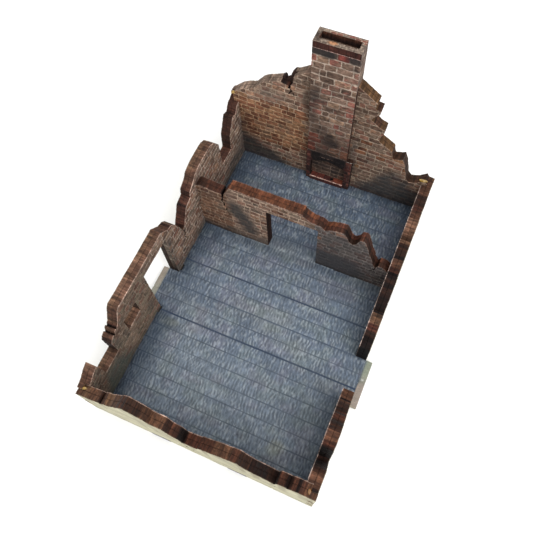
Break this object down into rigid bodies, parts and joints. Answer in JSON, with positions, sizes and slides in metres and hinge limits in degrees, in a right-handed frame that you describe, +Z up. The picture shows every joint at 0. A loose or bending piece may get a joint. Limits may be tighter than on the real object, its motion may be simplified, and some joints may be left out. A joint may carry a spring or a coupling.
{
  "type": "miniature terrain ruin",
  "caption": "Roofless two-room ruined brick cottage for tabletop figures, with broken walls, doorways, a small window, a plank floor, a chimney gable and a fireplace.",
  "frame": {"origin": "centre of the footprint, on the underside of the floor", "axes": "+Y towards the chimney gable, +X towards the low side wall with the doorway gap, +Z up"},
  "size_m": [0.127, 0.18, 0.1093],
  "materials": {
    "brick_board": "matt printed and engraved brick face, raw brown fibreboard edges",
    "render_board": "matt cream render print, raw brown fibreboard edges",
    "plank_board": "matt blue-grey printed planks with engraved seams",
    "chimney_brick": "matt printed brick with pale mortar",
    "fireplace_brick": "matt dark red brick, sooty",
    "stone_board": "matt printed pale stone",
    "glue": "dried amber glue beads in the corners"
  },
  "bodies": {
    "root": {"floor_panel": "plank_board", "front_wall_inner_skin": "brick_board", "front_wall_outer_skin": "render_board", "back_wall_inner_skin": "brick_board", "back_wall_outer_skin": "render_board", "left_wall_inner_skin": "brick_board", "left_wall_outer_skin": "render_board", "right_wall_front_inner_skin": "brick_board", "right_wall_front_outer_skin": "render_board", "right_wall_rear_inner_skin": "brick_board", "right_wall_rear_outer_skin": "render_board", "partition_front_skin": "brick_board", "partition_rear_skin": "brick_board", "chimney_breast": "chimney_brick", "chimney_left_cheek": "chimney_brick", "chimney_right_cheek": "chimney_brick", "chimney_cap": "chimney_brick", "fireplace_surround": "fireplace_brick", "hearth_kerb": "fireplace_brick", "left_doorstep": "stone_board", "right_doorstep": "stone_board"}
  },
  "joints": []
}
